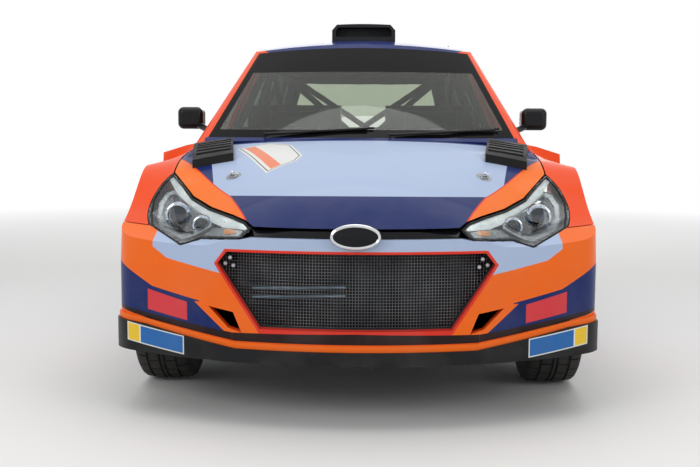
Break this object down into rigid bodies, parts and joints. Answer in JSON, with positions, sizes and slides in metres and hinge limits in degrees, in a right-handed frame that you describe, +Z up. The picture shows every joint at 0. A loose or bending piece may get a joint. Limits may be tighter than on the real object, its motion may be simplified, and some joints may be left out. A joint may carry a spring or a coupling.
{
  "type": "five-door rally hatchback car",
  "caption": "Five-door rally hatchback with wide arches, meshed nose, roll cage, steering, opening doors, bonnet and tailgate.",
  "frame": {"origin": "on the ground under the middle of the car's overall box", "axes": "+Z up, the nose towards -Y, +X to the car's left"},
  "size_m": [1.82, 4.0346, 1.6399],
  "materials": {
    "orange_paint": "gloss",
    "navy_paint": "gloss",
    "satin_black": "satin",
    "gloss_black": "gloss",
    "cage_paint": "satin",
    "floor_paint": "satin",
    "glass": "clear",
    "lamp_body": "gloss",
    "red_lens": "gloss",
    "steel": "brushed",
    "aluminium": "satin",
    "cast_iron": "cast",
    "rim_paint": "satin",
    "tyre": "matte",
    "seat_shell": "woven"
  },
  "bodies": {
    "body": {"floor_pan": "floor_paint", "side_frames": "orange_paint", "roof_panel": "navy_paint", "roof_scoop": "satin_black", "scuttle_panel": "satin_black", "front_fenders": "orange_paint", "front_bumper": "orange_paint", "front_splitter": "satin_black", "grille_mesh": "satin_black", "upper_grille": "gloss_black", "headlamps": "lamp_body", "headlamp_covers": "glass", "radiator": "aluminium", "engine_block": "cast_iron", "windscreen": "glass", "dashboard": "satin_black", "seats": "seat_shell", "roll_cage": "cage_paint", "rear_bumper": "orange_paint", "tail_lamps": "red_lens", "exhaust": "steel", "arch_liners": "satin_black", "front_suspension": "steel", "rear_suspension": "steel"},
    "bonnet": {"bonnet": "navy_paint", "bonnet_vents": "satin_black"},
    "tailgate": {"tailgate": "orange_paint", "tailgate_glass": "glass", "rear_wing": "satin_black"},
    "front_door_left": {"front_door_left": "orange_paint", "front_window_left": "glass", "mirror_left": "gloss_black"},
    "front_wheel_left": {"front_rim_left": "rim_paint", "front_tyre_left": "tyre"},
    "rear_door_left": {"rear_door_left": "orange_paint", "rear_window_left": "glass"},
    "rear_wheel_left": {"rear_rim_left": "rim_paint", "rear_tyre_left": "tyre"},
    "knuckle_left": {"knuckle_left": "cast_iron"},
    "front_door_right": {"front_door_right": "orange_paint", "front_window_right": "glass", "mirror_right": "gloss_black"},
    "front_wheel_right": {"front_rim_right": "rim_paint", "front_tyre_right": "tyre"},
    "rear_door_right": {"rear_door_right": "orange_paint", "rear_window_right": "glass"},
    "rear_wheel_right": {"rear_rim_right": "rim_paint", "rear_tyre_right": "tyre"},
    "knuckle_right": {"knuckle_right": "cast_iron"}
  },
  "joints": [
    {"name": "steer_left", "type": "hinge", "parent": "body", "child": "knuckle_left", "pos_m": [0.72, -1.1975, 0.325], "axis": [0, 0, 1], "range_deg": [-30, 30]},
    {"name": "front_wheel_spin_left", "type": "hinge", "parent": "knuckle_left", "child": "front_wheel_left", "pos_m": [0.795, -1.1975, 0.325], "axis": [1, 0, 0], "continuous": true},
    {"name": "rear_wheel_spin_left", "type": "hinge", "parent": "body", "child": "rear_wheel_left", "pos_m": [0.795, 1.3725, 0.325], "axis": [1, 0, 0], "continuous": true},
    {"name": "front_door_left_hinge", "type": "hinge", "parent": "body", "child": "front_door_left", "pos_m": [0.85, -0.803, 0.7], "axis": [0, 0, -1], "range_deg": [0, 65]},
    {"name": "rear_door_left_hinge", "type": "hinge", "parent": "body", "child": "rear_door_left", "pos_m": [0.85, 0.176, 0.7], "axis": [0, 0, -1], "range_deg": [0, 65]},
    {"name": "steer_right", "type": "hinge", "parent": "body", "child": "knuckle_right", "pos_m": [-0.72, -1.1975, 0.325], "axis": [0, 0, 1], "range_deg": [-30, 30]},
    {"name": "front_wheel_spin_right", "type": "hinge", "parent": "knuckle_right", "child": "front_wheel_right", "pos_m": [-0.795, -1.1975, 0.325], "axis": [1, 0, 0], "continuous": true},
    {"name": "rear_wheel_spin_right", "type": "hinge", "parent": "body", "child": "rear_wheel_right", "pos_m": [-0.795, 1.3725, 0.325], "axis": [1, 0, 0], "continuous": true},
    {"name": "front_door_right_hinge", "type": "hinge", "parent": "body", "child": "front_door_right", "pos_m": [-0.85, -0.803, 0.7], "axis": [0, 0, 1], "range_deg": [0, 65]},
    {"name": "rear_door_right_hinge", "type": "hinge", "parent": "body", "child": "rear_door_right", "pos_m": [-0.85, 0.176, 0.7], "axis": [0, 0, 1], "range_deg": [0, 65]},
    {"name": "bonnet_hinge", "type": "hinge", "parent": "body", "child": "bonnet", "pos_m": [0, -0.885, 0.985], "axis": [-1, 0, 0], "range_deg": [0, 50]},
    {"name": "tailgate_hinge", "type": "hinge", "parent": "body", "child": "tailgate", "pos_m": [0, 1.5, 1.495], "axis": [1, 0, 0], "range_deg": [0, 70]}
  ],
  "couplings": [
    {"joint": "steer_right", "follows": "steer_left", "ratio": 1}
  ]
}
